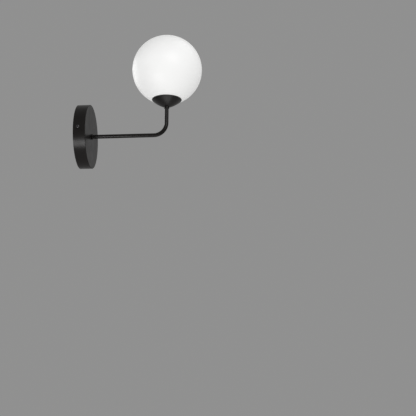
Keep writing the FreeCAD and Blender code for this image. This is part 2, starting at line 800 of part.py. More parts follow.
def make_holder_bracket():
    """A flat strap on the tube with an ear on each side of the lampholder."""
    stem_y = f"-({STEM_OUT})"
    half_width = "-holder_bracket_width / 2"
    reach = f"({EAR_OUT} + holder_bracket_thickness)"
    base_size = ("holder_bracket_width", f"2 * {reach}", "holder_bracket_thickness")
    base = block("bracket_base", base_size, (half_width, f"{stem_y} - {reach}", BRACKET_HIGH))
    ear_height = f"{HOLDER_SCREW_HIGH} - ({BRACKET_HIGH}) + holder_ear_above_screw"
    ear_size = ("holder_bracket_width", "holder_bracket_thickness", ear_height)
    ears = [
        block("bracket_ear_out", ear_size, (half_width, f"{stem_y} - {reach}", BRACKET_HIGH)),
        block("bracket_ear_in", ear_size, (half_width, f"{stem_y} + {EAR_OUT}", BRACKET_HIGH)),
    ]
    tube_foot = ("0", stem_y, BRACKET_HIGH)
    tube_hole = rod("bracket_tube_hole", SLIP_BORE, "holder_bracket_thickness", tube_foot)
    screw_hole = rod(
        "bracket_screw_hole",
        "holder_screw_diameter / 2 + thread_gap",
        f"2 * {reach}",
        ("0", f"{stem_y} - {reach}", HOLDER_SCREW_HIGH),
        IN,
    )
    solid = fuse("bracket_strap", [base, *ears])
    holes = fuse("bracket_holes", [tube_hole, screw_hole])
    return named(cut("holder_bracket", solid, holes), "holder_bracket")


def make_holder_screws():
    """The two screws that hold the lampholder between the bracket's ears."""
    screws = []
    for name, side, turn in (("out", "-", IN), ("in", "+", OUT)):
        face = f"-({STEM_OUT}) {side} ({EAR_OUT} + holder_bracket_thickness)"
        screws.append(
            slotted_screw(
                f"holder_screw_{name}",
                "holder_screw_diameter / 2",
                "holder_screw_length",
                "holder_head_diameter / 2",
                "holder_head_height",
                ("0", face, HOLDER_SCREW_HIGH),
                turn,
            )
        )
    return group("holder_screws", screws)


def make_lampholder():
    """A ceramic block with a socket for the bulb's plug, a pocket and a lead hole for each contact."""
    body = new_body("lampholder", y=f"-({STEM_OUT})", z=HOLDER_HIGH)
    outline = new_sketch(body, "holder_outline", "XY_Plane")
    draw_box(outline, "-holder_width / 2", "-holder_depth / 2", "holder_width / 2", "holder_depth / 2")
    solid = pad(body, "holder_block", outline, "holder_height")
    doc.recompute()
    upright = [
        f"Edge{i}"
        for i, edge in enumerate(solid.Shape.Edges, start=1)
        if abs(edge.BoundBox.ZLength - edge.Length) < PLACE_TOLERANCE
    ]
    corners = body.newObject("PartDesign::Fillet", "holder_corners")
    corners.Base = (solid, upright)
    corners.setExpression("Radius", bound("holder_corner"))
    socket = new_sketch(body, "socket_sketch", "XY_Plane", "holder_height")
    draw_box(socket, "-socket_width / 2", "-socket_depth / 2", "socket_width / 2", "socket_depth / 2")
    cut_down(body, "socket", socket, "socket_sink")
    pockets = new_sketch(body, "pockets_sketch", "XY_Plane", "holder_height - socket_sink")
    leads = new_sketch(body, "lead_holes_sketch", "XY_Plane")
    for side in ("", "-"):
        near = f"{side}(pin_spacing / 2 - pocket_width / 2)"
        far = f"{side}(pin_spacing / 2 + pocket_width / 2)"
        draw_box(pockets, near, "-pocket_depth / 2", far, "pocket_depth / 2")
        draw_circle(leads, f"{side}pin_spacing / 2", "0", "lead_hole_diameter / 2")
    cut_down(body, "pockets", pockets, "pocket_sink")
    cut_through(body, "lead_holes", leads)
    cross = new_sketch(body, "holder_screw_hole_sketch", "XZ_Plane")
    draw_circle(cross, "0", "holder_screw_rise", "holder_screw_diameter / 2 + thread_gap")
    cut_through(body, "holder_screw_hole", cross)
    return body


def make_contacts():
    """A sprung clip for each of the bulb's pins, open at the top."""
    clips = []
    stem_y = f"-({STEM_OUT})"
    outer = "(pin_thickness / 2 + pin_gap + contact_leaf)"
    for name, side in (("right", ""), ("left", "-")):
        x = f"{side}pin_spacing / 2 - contact_width / 2"
        foot_size = ("contact_width", f"2 * {outer}", "contact_leaf")
        leaf_size = ("contact_width", "contact_leaf", "contact_height")
        parts = [
            block(f"contact_{name}_foot", foot_size, (x, f"{stem_y} - {outer}", POCKET_FLOOR_HIGH)),
            block(f"contact_{name}_front", leaf_size, (x, f"{stem_y} - {outer}", POCKET_FLOOR_HIGH)),
            block(
                f"contact_{name}_back",
                leaf_size,
                (x, f"{stem_y} + {outer} - contact_leaf", POCKET_FLOOR_HIGH),
            ),
        ]
        clips.append(fuse(f"contact_{name}", parts))
    return group("lampholder_contacts", clips)


def make_bulb():
    """A small two-pin bulb: plug and collar, pins, frosted cap and the light board inside it."""
    stem_y = f"-({STEM_OUT})"
    radius = "bulb_diameter / 2"
    plug_width = "socket_width - 2 * plug_gap"
    plug_depth = "socket_depth - 2 * plug_gap"
    plug_height = f"{BULB_COLLAR_HIGH} - ({PLUG_HIGH})"
    plug_y = f"{stem_y} - socket_depth / 2 + plug_gap"
    plug_corner = ("-socket_width / 2 + plug_gap", plug_y, PLUG_HIGH)
    plug = block("bulb_plug", (plug_width, plug_depth, plug_height), plug_corner)
    collar = rod("bulb_collar", radius, "bulb_collar_height", ("0", stem_y, BULB_COLLAR_HIGH))
    base = named(fuse("bulb_base", [plug, collar]), "bulb_base")

    pins = []
    pin_y = f"{stem_y} - pin_thickness / 2"
    pin_low = f"{PLUG_HIGH} - pin_length + pin_width / 2"
    leg_size = ("pin_width", "pin_thickness", "pin_length - pin_width / 2")
    for name, side in (("right", ""), ("left", "-")):
        x = f"{side}pin_spacing / 2"
        leg = block(f"pin_{name}_leg", leg_size, (f"{x} - pin_width / 2", pin_y, pin_low))
        tip = rod(f"pin_{name}_tip", "pin_width / 2", "pin_thickness", (x, pin_y, pin_low), IN)
        pins.append(fuse(f"pin_{name}", [leg, tip]))
    pins = group("bulb_pins", pins)

    inner = "(bulb_diameter / 2 - bulb_cap_wall)"
    dome_high = f"{BULB_CAP_HIGH} + bulb_cap_height - {radius}"
    foot = ("0", stem_y, BULB_CAP_HIGH)
    dome_centre = ("0", stem_y, dome_high)
    straight = f"bulb_cap_height - {radius}"
    full = [rod("cap_tube", radius, straight, foot), ball("cap_dome", radius, dome_centre)]
    hollow = [rod("cap_bore", inner, straight, foot), ball("cap_hollow", inner, dome_centre)]
    cap = cut("bulb_diffuser", fuse("cap_outside", full), fuse("cap_inside", hollow))
    cap = named(cap, "bulb_diffuser")

    board_size = ("board_width", "board_thickness", "board_height - board_width / 2")
    board_y = f"{stem_y} - board_thickness / 2"
    board = block("board_strip", board_size, ("-board_width / 2", board_y, BULB_CAP_HIGH))
    head_foot = ("0", board_y, f"{BULB_CAP_HIGH} + board_height - board_width / 2")
    board_head = rod("board_head", "board_width / 2", "board_thickness", head_foot, IN)
    core = named(fuse("bulb_core", [board, board_head]), "bulb_core")
    return [base, pins, cap, core]


# ---- the terminal block, the earth screw and the wires ---------------------------------------


def pole_place(pole):
    """How far a pole of the terminal block lies to the right of the block's middle."""
    return f"{pole - (POLE_COUNT - 1) / 2} * pole_spacing"


def make_terminal_block():
    body = new_body("terminal_block", turn=OUT)
    middle = f"-({BLOCK_MIDDLE_DROP})"
    outline = new_sketch(body, "block_outline", "XY_Plane", "strap_thickness")
    low = f"{middle} - block_height / 2"
    high = f"{middle} + block_height / 2"
    draw_box(outline, "-block_width / 2", low, "block_width / 2", high)
    pad(body, "block_solid", outline, "block_thickness")
    bores = new_sketch(body, "block_bores_sketch", "XZ_Plane")
    heads = new_sketch(body, "block_heads_sketch", "XY_Plane", BLOCK_FRONT_OUT)
    for pole in range(POLE_COUNT):
        draw_circle(bores, pole_place(pole), POLE_OUT, "insert_diameter / 2 + thread_gap")
        for end in ("-", "+"):
            y = f"{middle} {end} clamp_screw_spread / 2"
            draw_circle(heads, pole_place(pole), y, "clamp_head_diameter / 2 + slip_gap")
    cut_through(body, "block_bores", bores)
    cut_down(body, "block_heads", heads, "block_thickness / 2")
    fixing = new_sketch(body, "block_fixing_sketch", "XY_Plane")
    draw_circle(fixing, "pole_spacing / 2", middle, "block_screw_diameter / 2 + thread_gap")
    cut_through(body, "block_fixing", fixing)
    return body


def make_terminal_inserts():
    """Brass sleeves in the block, one for each pole, cross-drilled for the clamping screws."""
    inserts = []
    middle = f"-({BLOCK_MIDDLE_DROP})"
    screw_bore = "clamp_screw_diameter / 2 + thread_gap"
    for pole in range(POLE_COUNT):
        x = pole_place(pole)
        foot = (x, f"-({POLE_OUT})", f"{middle} - insert_length / 2")
        sleeve = rod(f"insert_{pole}_sleeve", "insert_diameter / 2", "insert_length", foot)
        tools = [rod(f"insert_{pole}_bore", "insert_bore / 2", "insert_length", foot)]
        for name, end in (("low", "-"), ("high", "+")):
            start = (x, f"-({POLE_OUT})", f"{middle} {end} clamp_screw_spread / 2")
            hole = rod(f"insert_{pole}_{name}", screw_bore, "insert_diameter", start, OUT)
            tools.append(hole)
        inserts.append(cut(f"insert_{pole}", sleeve, fuse(f"insert_{pole}_holes", tools)))
    return group("terminal_inserts", inserts)


def make_terminal_screws():
    """The clamping screws, two for each pole; their tips stop just short of the wires."""
    screws = []
    head_out = f"({BLOCK_FRONT_OUT} - clamp_head_sink - clamp_head_height)"
    tip_out = f"({POLE_OUT} + wire_diameter / 2 + screw_tip_gap)"
    for pole in range(POLE_COUNT):
        for name, end in (("low", "-"), ("high", "+")):
            z = f"-({BLOCK_MIDDLE_DROP}) {end} clamp_screw_spread / 2"
            screws.append(
                slotted_screw(
                    f"clamp_screw_{pole}_{name}",
                    "clamp_screw_diameter / 2",
                    f"{head_out} - {tip_out}",
                    "clamp_head_diameter / 2",
                    "clamp_head_height",
                    (pole_place(pole), f"-{head_out}", z),
                    IN,
                )
            )
    return group("terminal_screws", screws)


def make_strap_screw(name, x, z, seat_out, radius, head_radius, head_height):
    """A screw into the strap from the front, which stops short of the wall."""
    length = f"{seat_out} - screw_tip_gap"
    seat = (x, f"-({seat_out})", z)
    return named(slotted_screw(name, radius, length, head_radius, head_height, seat, IN), name)


def make_earth_tag():
    """A ring tag under the earth screw, with a crimp barrel for the wire."""
    ring_foot = ("earth_offset", f"-({TAG_OUT})", "0")
    eye = rod("tag_eye", "tag_diameter / 2", "tag_thickness", ring_foot, OUT)
    barrel_start = "earth_offset - tag_barrel_offset"
    neck_size = ("tag_barrel_offset", "tag_neck_width", "tag_thickness")
    neck = block("tag_neck", neck_size, (f"{barrel_start}", f"-({TAG_OUT})", "-tag_neck_width / 2"), OUT)
    barrel_foot = (barrel_start, f"-({BARREL_OUT})", "0")
    barrel = rod("tag_barrel", "tag_barrel_diameter / 2", "tag_barrel_length", barrel_foot, LEFT)
    hole = rod("tag_hole", "earth_screw_diameter / 2 + slip_gap", "tag_thickness", ring_foot, OUT)
    bore_foot = (f"{barrel_start} - tag_neck_width / 2", f"-({BARREL_OUT})", "0")
    bore = rod("tag_bore", "wire_diameter / 2 + slip_gap", "tag_barrel_length", bore_foot, LEFT)
    solid = fuse("tag_solid", [eye, neck, barrel])
    return named(cut("earth_tag", solid, fuse("tag_holes", [hole, bore])), "earth_tag")


def make_wire(name, points, leads):
    """A round wire along straight runs joined by tangent arcs.

    Each lead is the length of run that the arc at that corner takes up on either side.
    """
    corners = [FreeCAD.Vector(*point) for point in points]
    edges = []
    here = corners[0]
    radii = []
    for before, corner, after, lead in zip(corners, corners[1:], corners[2:], leads):
        back = (before - corner).normalize()
        onward = (after - corner).normalize()
        half_turn = (math.pi - back.getAngle(onward)) / 2
        radius = lead / math.tan(half_turn)
        bisector = (back + onward).normalize()
        to_arc = radius / math.cos(half_turn) - radius
        arc_start = corner + back * lead
        arc_end = corner + onward * lead
        edges.append(Part.LineSegment(here, arc_start).toShape())
        edges.append(Part.Arc(arc_start, corner + bisector * to_arc, arc_end).toShape())
        radii.append(radius)
        here = arc_end
    edges.append(Part.LineSegment(here, corners[-1]).toShape())
    path = Part.Wire(edges)
    radius = SIZES["wire_diameter"] / 2
    start_way = (corners[1] - corners[0]).normalize()
    section = Part.Wire([Part.Circle(corners[0], start_way, radius).toShape()])
    solid = path.makePipeShell([section], True, True)
    expected = math.pi * radius**2 * path.Length
    print(f"{name}: radii {[round(r, 1) for r in radii]}, volume over section times length"
          f" {solid.Volume / expected:.4f}")
    item = doc.addObject("Part::Feature", name)
    item.Label = name
    item.Shape = solid
    item.Placement = FreeCAD.Placement()
    return item


def make_wires():
    """Line and neutral run from the contacts down through the arm; earth runs from its tag."""
    stem = -number(STEM_OUT)
    pocket_floor = number(POCKET_FLOOR_HIGH)
    holder_low = number(HOLDER_HIGH)
    tube_top = number(TUBE_TOP_HIGH) + SIZES["bush_flange"]
    tube_root = -(number(ROOT_TUBE_OUT) - SIZES["bush_flange"])
    pole_y = -number(POLE_OUT)
    block_middle = -number(BLOCK_MIDDLE_DROP)
    pin = SIZES["pin_spacing"] / 2
    offset = SIZES["wire_offset"]
    bend = SIZES["bend_radius"]
    pole = SIZES["pole_spacing"]
    lead = SIZES["wire_lead"]
    root_turn = SIZES["wire_root_turn"]
    wide_turn = SIZES["wire_wide_turn"]
    drop = SIZES["wire_drop"]
    wire_end = block_middle + lead / 2

    def from_contact(side):
        return [
            (side * pin, stem, pocket_floor - SIZES["screw_tip_gap"]),
            (side * pin, stem, holder_low - lead),
            (side * offset, stem, tube_top + lead),
            (side * offset, stem, 0),
            (side * offset, tube_root + root_turn, 0),
        ]

    line = from_contact(1) + [(0, pole_y, 0), (0, pole_y, wire_end)]
    neutral = from_contact(-1) + [(-pole, pole_y, -drop), (-pole, pole_y, wire_end)]
    barrel_start = SIZES["earth_offset"] - SIZES["tag_barrel_offset"] - SIZES["tag_neck_width"] / 2
    barrel_y = -number(BARREL_OUT)
    earth = [
        (barrel_start - lead, barrel_y, 0),
        (pole, barrel_y, 0),
        (pole, pole_y, -(wide_turn + 2 * drop)),
        (pole, pole_y, wire_end),
    ]
    return [
        make_wire("wire_line", line, [lead, lead, bend, root_turn, wide_turn]),
        make_wire("wire_neutral", neutral, [lead, lead, bend, root_turn, wide_turn]),
        make_wire("wire_earth", earth, [wide_turn, drop]),
    ]


# ---- the whole lamp --------------------------------------------------------------------------


def build():
    stem_y = f"-({STEM_OUT})"
    fill_sheet()
    nodes = [
        make_canopy_cover(),
        make_wall_bracket(),
        make_canopy_screw("canopy_screw_right", "", RIGHT),
        make_canopy_screw("canopy_screw_left", "-", LEFT),
        make_arm_tube(),
        make_collar("arm_root_collar", y="-canopy_depth", turn=OUT),
        make_collar("arm_top_collar", y=stem_y, z="cup_rise - collar_height"),
        make_lock_washer("canopy_lock_washer", y=f"-({PLATE_INNER_OUT})", turn=IN),
        make_nut("canopy_hex_nut", "nut_thickness", ("0", f"-({ROOT_NUT_OUT})", "0"), IN),
        make_lock_washer("cup_lock_washer", y=stem_y, z=CUP_INNER_HIGH),
        make_nut("cup_hex_nut", "nut_thickness", ("0", stem_y, CUP_NUT_HIGH)),
        make_nut("bracket_nut", "bracket_nut_thickness", ("0", stem_y, BRACKET_NUT_HIGH)),
        make_bush("root_bush", y=f"-({ROOT_TUBE_OUT} + bush_spigot)", turn=IN),
        make_bush("top_bush", y=stem_y, z=f"{TUBE_TOP_HIGH} - bush_spigot"),
        make_glass_cup(),
        make_opal_globe(),
        make_globe_spring(),
        make_holder_bracket(),
        make_holder_screws(),
        make_lampholder(),
        make_contacts(),
        *make_bulb(),
        make_terminal_block(),
        make_terminal_inserts(),
        make_terminal_screws(),
        make_strap_screw(
            "terminal_block_screw",
            "pole_spacing / 2",
            f"-({BLOCK_MIDDLE_DROP})",
            BLOCK_FRONT_OUT,
            "block_screw_diameter / 2",
            "block_head_diameter / 2",
            "block_head_height",
        ),
        make_strap_screw(
            "earth_screw",
            "earth_offset",
            "0",
            f"{TAG_OUT} + tag_thickness",
            "earth_screw_diameter / 2",
            "earth_head_diameter / 2",
            "earth_head_height",
        ),
        make_earth_tag(),
        *make_wires(),
    ]
    doc.removeObject("Reader")
    doc.recompute()
    return nodes


def check(nodes):
    """Stops unless every feature was made and every piece is a valid solid."""
    for item in doc.Objects:
        if "Invalid" in item.State or "Error" in item.State:
            raise RuntimeError(f"{item.Name} was not made: {item.State}")
    for node in nodes:
        shape = node.Shape
        if shape.isNull() or not shape.isValid() or not shape.Solids:
            raise RuntimeError(f"{node.Label} is not a valid solid")


def export(nodes):
    os.makedirs("parts", exist_ok=True)
    for node in nodes:
        node.Shape.exportStep(os.path.join("parts", f"{node.Label}.step"))
        size = node.Shape.BoundBox
        print(f"{node.Label}: {len(node.Shape.Solids)} solid(s), {size.XLength:.1f} x"
              f" {size.YLength:.1f} x {size.ZLength:.1f} mm")


model = build()
check(model)
export(model)
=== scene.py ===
"""The looks of the globe wall sconce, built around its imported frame. Lengths are metres."""
import json
import math

import bmesh
import bpy
from mathutils import Matrix, Vector


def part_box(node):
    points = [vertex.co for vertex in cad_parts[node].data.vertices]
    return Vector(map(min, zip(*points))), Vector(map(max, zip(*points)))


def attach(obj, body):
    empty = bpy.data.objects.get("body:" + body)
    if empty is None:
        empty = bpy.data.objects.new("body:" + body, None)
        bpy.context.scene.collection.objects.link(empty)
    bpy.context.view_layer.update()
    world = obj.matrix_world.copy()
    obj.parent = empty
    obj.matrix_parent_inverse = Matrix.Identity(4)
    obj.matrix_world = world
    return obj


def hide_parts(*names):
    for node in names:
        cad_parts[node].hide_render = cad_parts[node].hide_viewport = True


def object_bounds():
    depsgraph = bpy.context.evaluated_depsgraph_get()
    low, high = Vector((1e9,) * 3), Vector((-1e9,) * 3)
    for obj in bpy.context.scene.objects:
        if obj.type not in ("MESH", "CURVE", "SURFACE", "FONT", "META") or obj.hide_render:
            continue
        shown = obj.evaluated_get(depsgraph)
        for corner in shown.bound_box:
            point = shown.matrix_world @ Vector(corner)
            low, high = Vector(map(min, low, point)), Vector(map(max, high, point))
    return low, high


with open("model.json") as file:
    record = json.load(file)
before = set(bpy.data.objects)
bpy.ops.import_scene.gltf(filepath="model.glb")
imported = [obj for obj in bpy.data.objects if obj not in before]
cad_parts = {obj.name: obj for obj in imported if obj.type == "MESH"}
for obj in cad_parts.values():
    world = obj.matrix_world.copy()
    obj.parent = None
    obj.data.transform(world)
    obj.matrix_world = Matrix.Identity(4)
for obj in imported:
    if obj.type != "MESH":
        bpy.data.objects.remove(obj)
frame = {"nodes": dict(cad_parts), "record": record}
cad_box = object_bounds()
nodes = frame["nodes"]
MM = 0.001

# The photograph's frame and the camera that sees the lamp as it does. Angles are in degrees.
FRAME_PIXELS = 416
SENSOR_WIDTH = 36.0
LENS = 85.0
CAMERA_YAW = 84.94
CAMERA_PITCH = 14.57
CAMERA_ROLL = 0.12
GLOBE_PIXEL = (167.2, 70.1)
GLOBE_DISTANCE = 2.001
FAR_CLIP = 50.0

# The globe, from the frame, and its glass.
globe_low, globe_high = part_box("opal_globe")
GLOBE_RADIUS = (globe_high.y - globe_low.y) / 2
GLOBE_CENTRE = Vector((0, (globe_low.y + globe_high.y) / 2, globe_high.z - GLOBE_RADIUS))
GLASS_WALL = 3 * MM
GLASS_EDGE_ROUND = 1.2 * MM

# The two screws in the plate's rim.
RIM_SCREW_RADIUS = 2 * MM
THREAD_PITCH = 0.7 * MM
THREAD_DEPTH = 0.35 * MM
SCREW_HEAD_HEIGHT = 2.2 * MM
SCREW_HEAD_ROUND = 1.2 * MM
CROSS_LENGTH = 3.6 * MM
CROSS_WIDTH = 0.9 * MM
CROSS_DEPTH = 1.1 * MM
# The recess's floor is this share of its size at the head's top, or nearly so.
CROSS_TAPER = 0.75

# How finely the turned pieces are divided.
GLOBE_STEPS = 160
GLOBE_ARC_STEPS = 48
SCREW_STEPS = 48
ROUND_STEPS = 8
ROWS_PER_PITCH = 6
WELD = 0.001 * MM
SHARP_ANGLE = math.radians(35)

# The stage and the light.
LIT_CENTRE = (cad_box[0] + cad_box[1]) / 2
FLOOR_HEIGHT = -1.5
FLOOR_RADIUS = 6.0
FLOOR_SIDES = 128
HAZE_START = 0.3 * FLOOR_RADIUS
HAZE_END = 0.8 * FLOOR_RADIUS
BACKDROP = (0.28, 0.28, 0.279)
FILL_LIGHT = 0.32
# The strength of the glow painted on the globe's glass as emission, in place of the bulb's light
# shining through it.
PAINTED_GLOBE_GLOW = 0.66
BULB_GLOW = 0.4
# Each soft lamp's name, its direction from the object, its distance and side, and its level.
LAMPS = [
    ("low_softbox", (-0.69, 0.3, -0.64), 0.68, 0.22, 0.19),
    ("under_softbox", (-0.17, -0.16, -0.97), 0.51, 0.35, 0.15),
    ("front_softbox", (-0.85, -0.45, 0.4), 1.6, 0.9, 0.24),
    ("top_softbox", (0.1, -0.7, 1), 1.6, 0.9, 0.15),
    ("back_softbox", (0.7, 1, 0.3), 1.8, 1.0, 0.2),
]


# ---- materials -------------------------------------------------------------------------------


# The middle values of a noise, between which it carries a surface from one look to another.
CLOUD_RANGE = (0.3, 0.7)
# Grains per metre, how strongly they show, and the depth of fine, middling and coarse ones.
PEEL_GRAIN = 1400.0
FINE_GRAIN = 900.0
GRAIN_STRENGTH = 0.4
FINE, MIDDLING, COARSE = 0.01 * MM, 0.02 * MM, 0.04 * MM
# The colour of the bulb's light.
LAMPLIGHT = (1, 1, 0.995)


class Shader:
    """A new node material with short ways to add and join its nodes."""

    def __init__(self, name):
        self.material = bpy.data.materials.new(name)
        self.material.use_nodes = True
        self.tree = self.material.node_tree
        self.surface = self.tree.nodes["Principled BSDF"]
        self.coordinates = self.add("ShaderNodeTexCoord")
        self.place = self.coordinates.outputs["Object"]

    def add(self, kind, **settings):
        node = self.tree.nodes.new(kind)
        for key, value in settings.items():
            if hasattr(node, key):
                setattr(node, key, value)
            else:
                node.inputs[key].default_value = value
        return node

    def join(self, source, target):
        self.tree.links.new(source, target)

    def set(self, **values):
        for key, value in values.items():
            self.surface.inputs[key.replace("_", " ")].default_value = value

    def noise(self, scale, detail=2.0):
        node = self.add("ShaderNodeTexNoise", Scale=scale, Detail=detail)
        self.join(self.place, node.inputs["Vector"])
        return node.outputs["Fac"]

    def ramp(self, source, low, high, low_value, high_value):
        """Maps low..high of the source to the two values, linearly."""
        node = self.add("ShaderNodeMapRange")
        node.inputs["From Min"].default_value = low
        node.inputs["From Max"].default_value = high
        node.inputs["To Min"].default_value = low_value
        node.inputs["To Max"].default_value = high_value
        self.join(source, node.inputs["Value"])
        return node.outputs["Result"]

    def blend_colours(self, source, first, second):
        node = self.add("ShaderNodeMix", data_type="RGBA")
        node.inputs[6].default_value = (*first, 1)
        node.inputs[7].default_value = (*second, 1)
        self.join(source, node.inputs[0])
        return node.outputs[2]

    def bump(self, source, distance, strength):
        node = self.add("ShaderNodeBump", Distance=distance, Strength=strength)
        self.join(source, node.inputs["Height"])
        self.join(node.outputs["Normal"], self.surface.inputs["Normal"])

    def clouded(self, cloud, colours, smoothest, roughest):
        """Lets a cloudy noise carry the surface between two colours and two roughnesses."""
        self.join(self.blend_colours(cloud, *colours), self.surface.inputs["Base Color"])
        roughness = self.ramp(cloud, *CLOUD_RANGE, smoothest, roughest)
        self.join(roughness, self.surface.inputs["Roughness"])


def shaded(colour, share):
    return tuple(share * channel for channel in colour)


def powder_coat(name, colour, roughness, gloss, peel):
    """Black satin powder coat: a fine orange peel, and a sheen that varies a little."""
    shader = Shader(name)
    shader.set(Specular_IOR_Level=gloss)
    cloud = shader.noise(60.0, 3.0)
    shader.clouded(cloud, (colour, shaded(colour, 1.3)), roughness - 0.03, roughness + 0.04)
    shader.bump(shader.noise(PEEL_GRAIN), MIDDLING, peel)
    return shader.material


def bare_metal(name, colour, roughness):
    shader = Shader(name)
    shader.set(Metallic=1.0)
    cloud = shader.noise(FINE_GRAIN / 6, 3.0)
    shader.clouded(cloud, (shaded(colour, 0.82), colour), roughness - 0.06, roughness + 0.08)
    shader.bump(shader.noise(FINE_GRAIN), FINE, GRAIN_STRENGTH)
    return shader.material


def dull_solid(name, colour, roughness, grain, depth, glow=0.0):
    """Ceramic or plastic: an even colour with faint clouding and a fine surface grain."""
    shader = Shader(name)
    cloud = shader.noise(grain / 8, 3.0)
    shader.clouded(cloud, (shaded(colour, 0.9), colour), roughness - 0.04, roughness + 0.04)
    shader.bump(shader.noise(grain), depth, GRAIN_STRENGTH)
    shader.set(Emission_Color=(*LAMPLIGHT, 1), Emission_Strength=glow)
    return shader.material


def striped_wire(name, colour, stripe):
    """Smooth wire insulation with a stripe of the second colour along its front."""
    shader = Shader(name)
    shader.set(Roughness=0.42)
    facing = shader.add("ShaderNodeSeparateXYZ")
    shader.join(shader.coordinates.outputs["Normal"], facing.inputs[0])
    front = shader.ramp(facing.outputs["Y"], -0.3, -0.4, 0.0, 1.0)
    shader.join(shader.blend_colours(front, colour, stripe), shader.surface.inputs["Base Color"])
    shader.bump(shader.noise(FINE_GRAIN), FINE, GRAIN_STRENGTH)
    return shader.material


def opal_glass():
    """White acid-etched glass. Its glow from the bulb inside is painted on as emission: brightest
    round the globe's middle, near the bulb's height, and a little dimmer towards its top and
    bottom.
    """
    shader = Shader("opal_glass")
    cloud = shader.noise(25.0)
    colour = shader.blend_colours(cloud, (0.76, 0.76, 0.755), (0.8, 0.8, 0.795))
    shader.join(colour, shader.surface.inputs["Base Color"])
    shader.set(Subsurface_Weight=0.5, Subsurface_Radius=(1, 1, 1), Subsurface_Scale=0.006)
    shader.set(Roughness=0.6, Specular_IOR_Level=0.2)
    shader.set(Coat_Weight=1.0, Coat_Roughness=0.45, Coat_IOR=1.6, Coat_Tint=(0.8, 0.8, 0.8, 1))
    # Painted glow: full at the globe's middle, fading to a little dimmer at its top and bottom.
    height = shader.add("ShaderNodeSeparateXYZ")
    shader.join(shader.place, height.inputs[0])
    away = shader.add("ShaderNodeMath", operation="ABSOLUTE")
    shader.join(height.outputs["Z"], away.inputs[0])
    fall = shader.ramp(away.outputs[0], 0.0, GLOBE_RADIUS, 0.0, 1.0)
    glow = shader.blend_colours(fall, LAMPLIGHT, (0.88, 0.88, 0.875))
    shader.join(glow, shader.surface.inputs["Emission Color"])
    shader.set(Emission_Strength=PAINTED_GLOBE_GLOW)
    return shader.material


BLACK = (0.0072, 0.006, 0.0055)
finishes = {
    "black_metal": powder_coat("black_metal", BLACK, 0.31, gloss=0.28, peel=0.35),
    "black_tube": powder_coat("black_tube", BLACK, 0.18, gloss=0.28, peel=0.12),
    "black_cup": powder_coat("black_cup", BLACK, 0.31, gloss=0.45, peel=0.35),
    "black_screw": bare_metal("black_screw", (0.14, 0.135, 0.14), 0.22),
    "plated_steel": bare_metal("plated_steel", (0.62, 0.62, 0.6), 0.34),
    "spring_steel": bare_metal("spring_steel", (0.5, 0.5, 0.51), 0.25),
    "opal_glass": opal_glass(),
    "black_plastic": dull_solid("black_plastic", (0.02, 0.02, 0.02), 0.5, 1500.0, MIDDLING),
    "ceramic_white": dull_solid("ceramic_white", (0.8, 0.78, 0.73), 0.6, 1200.0, COARSE),
    "brass": bare_metal("brass", (0.72, 0.5, 0.22), 0.3),
    "white_plastic": dull_solid("white_plastic", (0.82, 0.82, 0.8), 0.35, FINE_GRAIN, FINE),
    "frosted_plastic": dull_solid(
        "frosted_plastic", (0.76, 0.76, 0.74), 0.55, 1500.0, MIDDLING, BULB_GLOW
    ),
    "light_board": dull_solid("light_board", (0.8, 0.76, 0.55), 0.5, FINE_GRAIN, MIDDLING),
    "clear_plastic": dull_solid("clear_plastic", (0.78, 0.78, 0.74), 0.42, FINE_GRAIN, MIDDLING),
    "wire_brown": dull_solid("wire_brown", (0.16, 0.06, 0.03), 0.45, FINE_GRAIN, FINE),
    "wire_blue": dull_solid("wire_blue", (0.03, 0.1, 0.32), 0.45, FINE_GRAIN, FINE),
    "wire_earth": striped_wire("wire_earth", (0.03, 0.22, 0.04), (0.66, 0.56, 0.03)),
}

# Black pieces whose coat lies smoother, on drawn tube, or shines more, on spun sheet.
OTHER_COATS = {
    "arm_tube": "black_tube",
    "arm_root_collar": "black_tube",
    "arm_top_collar": "black_tube",
    "glass_cup": "black_cup",
}


def dress_frame():
    """Gives every node of the frame the finish of its own slot, or its own kind of that finish."""
    for part in frame["record"]["subparts"]:
        item = nodes[part["node"]]
        item.data.materials.clear()
        item.data.materials.append(finishes[OTHER_COATS.get(part["node"], part["material_slot"])])


# ---- pieces built in mesh code ---------------------------------------------------------------


def arc(centre, radius, start, end, steps):
    """Points of a circle's arc in the (radius, height) plane, from one angle to another."""
    angles = [start + (end - start) * i / steps for i in range(steps + 1)]
    return [(centre[0] + radius * math.cos(a), centre[1] + radius * math.sin(a)) for a in angles]


def turned(name, profile, foot, steps):
    """A smooth piece turned from a (radius, height) profile about the vertical at its foot."""
    shape = bmesh.new()
    points = [shape.verts.new((radius, 0, height)) for radius, height in profile]
    edges = [shape.edges.new(pair) for pair in zip(points, points[1:])]
    bmesh.ops.spin(
        shape, geom=points + edges, axis=(0, 0, 1), angle=math.tau, steps=steps, use_merge=True
    )
    bmesh.ops.remove_doubles(shape, verts=shape.verts, dist=WELD)
    bmesh.ops.recalc_face_normals(shape, faces=shape.faces)
    for face in shape.faces:
        face.smooth = True
    return place_mesh(name, shape, foot)


def mark_sharp(piece):
    """Welds the piece's doubled points, then shades it smoothly except across its sharp edges."""
    shape = bmesh.new()
    shape.from_mesh(piece.data)
    bmesh.ops.remove_doubles(shape, verts=shape.verts, dist=WELD)
    for face in shape.faces:
        face.smooth = True
    for edge in shape.edges:
        edge.smooth = edge.calc_face_angle(0) < SHARP_ANGLE
    shape.to_mesh(piece.data)
    shape.free()


def place_mesh(name, shape, where):
    mesh = bpy.data.meshes.new(name)
    shape.to_mesh(mesh)
    shape.free()
    piece = bpy.data.objects.new(name, mesh)
    piece.location = where
    bpy.context.scene.collection.objects.link(piece)
    return piece


def dress(piece, slot, body, *replaced):
    """Gives a new piece its finish and its body, and hides the CAD nodes that it stands for."""
    piece.data.materials.append(finishes[slot])
    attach(piece, body)
    if replaced:
        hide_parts(*replaced)


